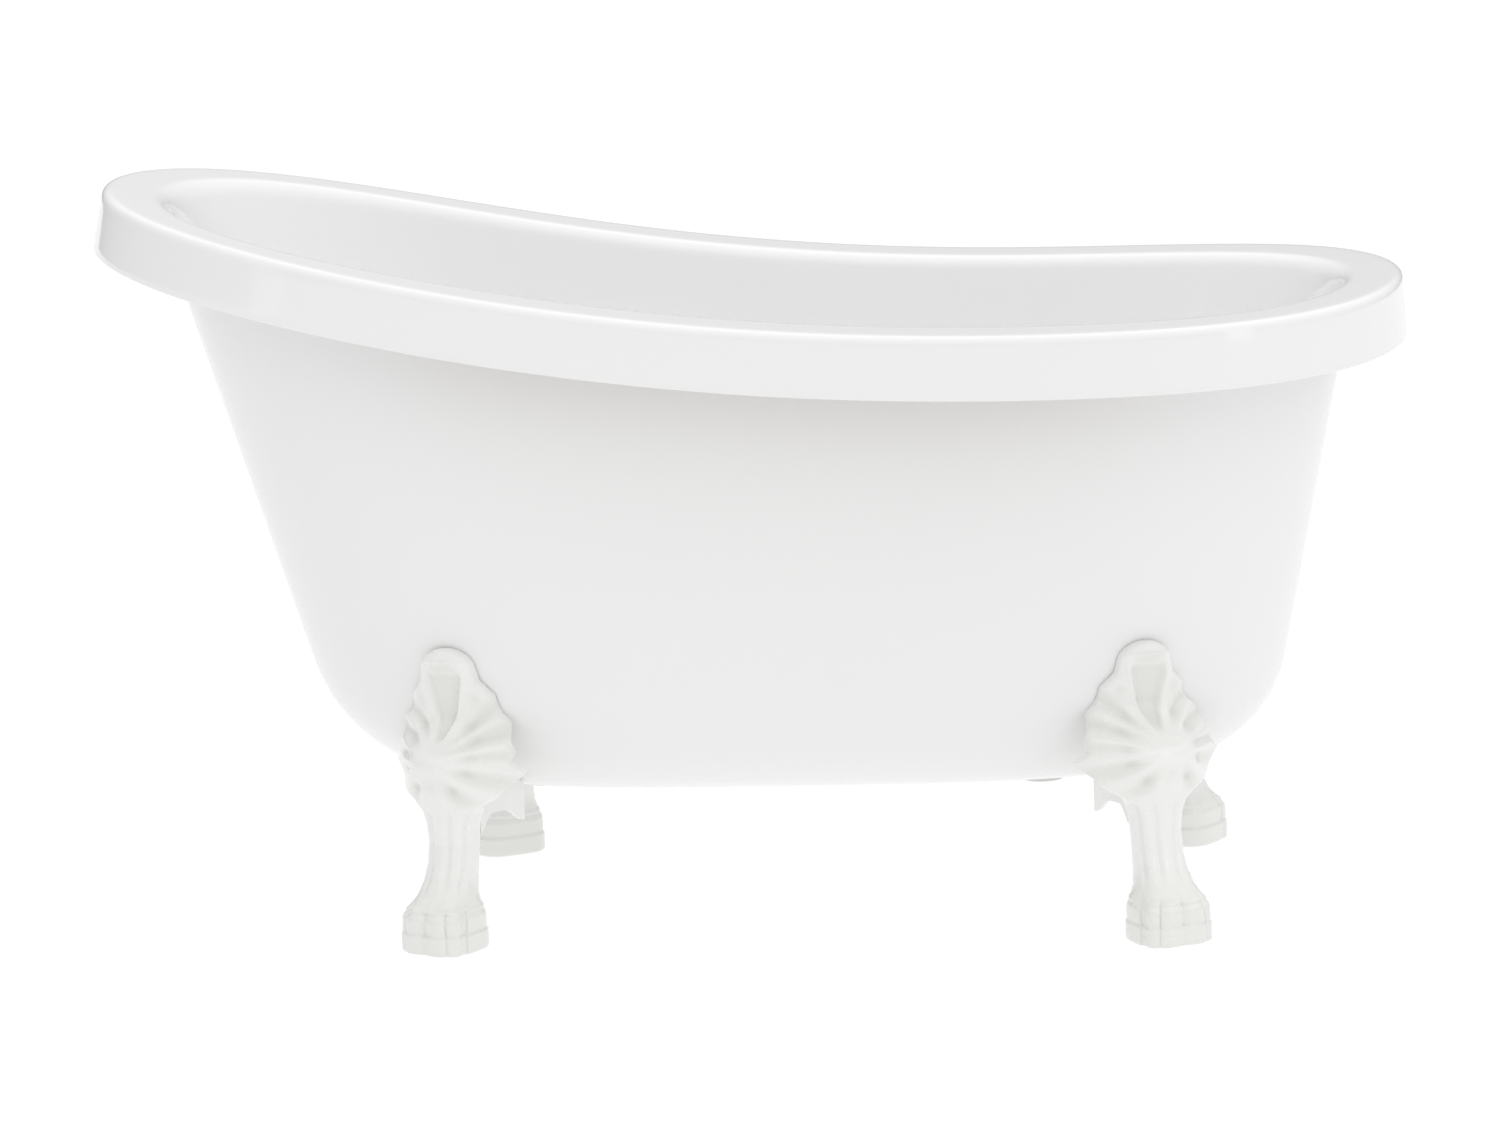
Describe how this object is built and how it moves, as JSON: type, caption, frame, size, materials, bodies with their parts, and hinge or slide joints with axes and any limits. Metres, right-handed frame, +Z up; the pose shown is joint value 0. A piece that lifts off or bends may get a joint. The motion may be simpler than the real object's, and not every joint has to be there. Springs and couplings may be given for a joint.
{
  "type": "freestanding bathtub",
  "caption": "Freestanding slipper bath: double-skinned white acrylic tub with a raised head end and rolled rim, on lion-paw feet, with a knob-operated pop-up waste and overflow.",
  "frame": {"origin": "on the floor under the middle of the overall box", "axes": "+X towards the low foot end, +Y across to the back side, +Z up; the raised head end is at -X"},
  "size_m": [1.5, 0.72, 0.8535],
  "materials": {
    "white_acrylic": "high-gloss cast acrylic sheet",
    "timber": "sawn ply and softwood, sealed",
    "white_casting": "semi-gloss white coating over a casting",
    "zinc_steel": "zinc plated",
    "brass": "turned",
    "chrome": "polished plate",
    "rubber": "moulded",
    "white_plastic": "moulded",
    "grey_hose": "flexible corrugated tube",
    "black_sleeve": "extruded sleeve"
  },
  "bodies": {
    "bath": {"inner_shell": "white_acrylic", "outer_shell": "white_acrylic", "base_board": "timber", "floor_batten_front": "timber", "floor_batten_back": "timber", "rim_strip_front": "timber", "rim_strip_back": "timber", "corner_block_head_front": "timber", "corner_block_head_back": "timber", "corner_block_toe_front": "timber", "corner_block_toe_back": "timber", "claw_foot_head_front": "white_casting", "claw_foot_head_back": "white_casting", "claw_foot_toe_front": "white_casting", "claw_foot_toe_back": "white_casting", "foot_studs": "zinc_steel", "foot_washers": "zinc_steel", "foot_nuts": "zinc_steel", "rocker_pin": "zinc_steel", "hose_clip_top": "zinc_steel", "hose_clip_bottom": "zinc_steel", "thread_inserts": "brass", "waste_flange": "chrome", "overflow_faceplate": "chrome", "waste_top_gasket": "rubber", "waste_bottom_gasket": "rubber", "overflow_gasket": "rubber", "waste_body": "white_plastic", "overflow_body": "white_plastic", "overflow_hose": "grey_hose", "cable_sleeve": "black_sleeve"},
    "knob": {"overflow_knob": "chrome", "knob_spindle": "brass", "knob_screw": "zinc_steel", "cable_drum": "white_plastic"},
    "plug": {"plug_cap": "chrome", "plug_seal": "rubber", "plug_stem": "chrome"},
    "rocker": {"lift_rocker": "zinc_steel"},
    "leveller_head_front": {"leveller_head_front": "zinc_steel"},
    "leveller_head_back": {"leveller_head_back": "zinc_steel"},
    "leveller_toe_front": {"leveller_toe_front": "zinc_steel"},
    "leveller_toe_back": {"leveller_toe_back": "zinc_steel"}
  },
  "joints": [
    {"name": "overflow_knob_turn", "type": "hinge", "parent": "bath", "child": "knob", "pos_m": [0.6198, 0, 0.5855], "axis": [-0.9119, 0, 0.4104], "range_deg": [0, 90]},
    {"name": "plug_lift", "type": "slide", "parent": "bath", "child": "plug", "axis": [0, 0, 1], "range_m": [0, 0.0101]},
    {"name": "rocker_tilt", "type": "hinge", "parent": "bath", "child": "rocker", "pos_m": [0.302, 0, 0.1789], "axis": [0, -1, 0], "range_deg": [0, 28.1]},
    {"name": "leveller_head_front_travel", "type": "slide", "parent": "bath", "child": "leveller_head_front", "axis": [0, 0, -1], "range_m": [0, 0.008]},
    {"name": "leveller_head_back_travel", "type": "slide", "parent": "bath", "child": "leveller_head_back", "axis": [0, 0, -1], "range_m": [0, 0.008]},
    {"name": "leveller_toe_front_travel", "type": "slide", "parent": "bath", "child": "leveller_toe_front", "axis": [0, 0, -1], "range_m": [0, 0.008]},
    {"name": "leveller_toe_back_travel", "type": "slide", "parent": "bath", "child": "leveller_toe_back", "axis": [0, 0, -1], "range_m": [0, 0.008]}
  ],
  "couplings": [
    {"joint": "plug_lift", "follows": "overflow_knob_turn", "m_per_rad": 0.0063662},
    {"joint": "rocker_tilt", "follows": "overflow_knob_turn", "ratio": 0.31111}
  ]
}
